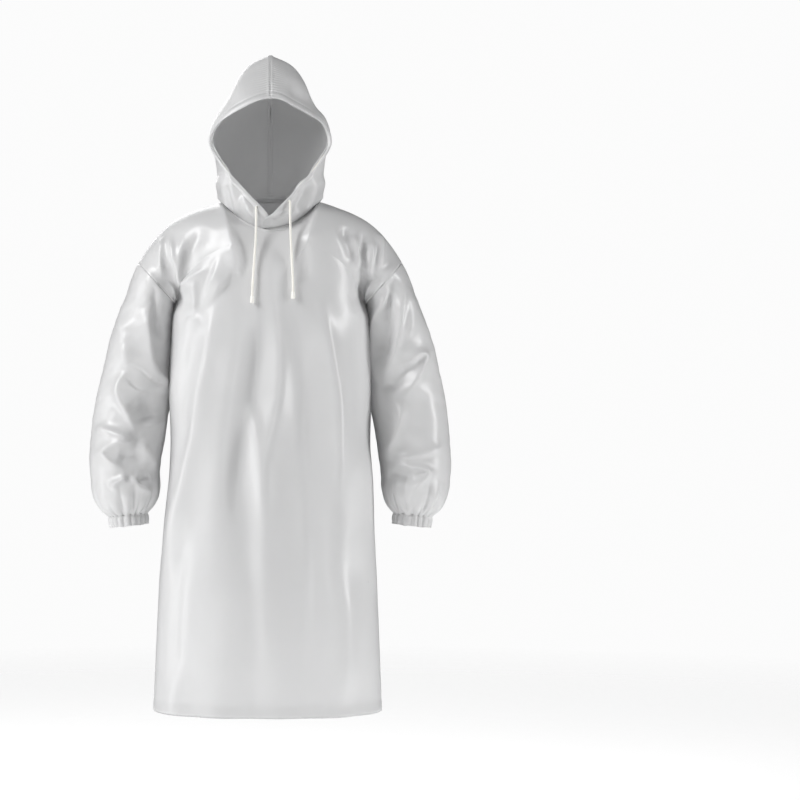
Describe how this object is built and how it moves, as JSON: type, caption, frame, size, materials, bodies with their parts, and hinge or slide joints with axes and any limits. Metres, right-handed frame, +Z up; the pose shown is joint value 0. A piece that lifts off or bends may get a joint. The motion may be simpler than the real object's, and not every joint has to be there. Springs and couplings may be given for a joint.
{
  "type": "hooded protective smock",
  "caption": "Knee-length pullover smock of translucent film with a pointed drawstring hood, drop-shoulder sleeves, elastic cuffs and a turned hem.",
  "frame": {"origin": "the middle of the base of the wearer's neck, where the smock rests on the shoulders", "axes": "+X the wearer's left, -Y the front, +Z up the body"},
  "size_m": [0.775, 0.325, 1.4044],
  "materials": {
    "film": "satin translucent film",
    "seam_tape": "heat-bonded translucent tape",
    "elastic": "woven elastic band",
    "cord": "braided matt cord",
    "cord_end": "moulded, slightly waxy"
  },
  "bodies": {
    "torso": {"front_panel": "film", "back_panel": "film", "front_hem_facing": "film", "back_hem_facing": "film", "neck_seam_tape": "seam_tape", "left_side_tape": "seam_tape", "left_shoulder_tape": "seam_tape", "right_side_tape": "seam_tape", "right_shoulder_tape": "seam_tape"},
    "hood": {"hood_seam_tape": "seam_tape", "drawstring": "cord", "left_hood_panel": "film", "left_hood_casing": "film", "right_hood_panel": "film", "right_hood_casing": "film"},
    "left_sleeve": {"left_sleeve": "film", "left_armhole_tape": "seam_tape", "left_underarm_tape": "seam_tape", "left_cuff": "film", "left_cuff_elastic": "elastic"},
    "left_tail": {"left_drawstring_tail": "cord", "left_cord_end": "cord_end"},
    "right_sleeve": {"right_sleeve": "film", "right_armhole_tape": "seam_tape", "right_underarm_tape": "seam_tape", "right_cuff": "film", "right_cuff_elastic": "elastic"},
    "right_tail": {"right_drawstring_tail": "cord", "right_cord_end": "cord_end"}
  },
  "joints": [
    {"name": "hood_tilt", "type": "hinge", "parent": "torso", "child": "hood", "pos_m": [0, 0.081, 0.017], "axis": [-1, 0, 0], "range_deg": [0, 35]},
    {"name": "left_sleeve_raise", "type": "hinge", "parent": "torso", "child": "left_sleeve", "pos_m": [0.2833, 0, -0.129], "axis": [0, -1, 0], "range_deg": [0, 60]},
    {"name": "right_sleeve_raise", "type": "hinge", "parent": "torso", "child": "right_sleeve", "pos_m": [-0.2833, 0, -0.129], "axis": [0, 1, 0], "range_deg": [0, 60]},
    {"name": "left_cord_pull", "type": "slide", "parent": "torso", "child": "left_tail", "axis": [0.04, -0.2999, -0.9531], "range_m": [0, 0.06]},
    {"name": "right_cord_pull", "type": "slide", "parent": "torso", "child": "right_tail", "axis": [-0.04, -0.2999, -0.9531], "range_m": [0, 0.06]}
  ]
}
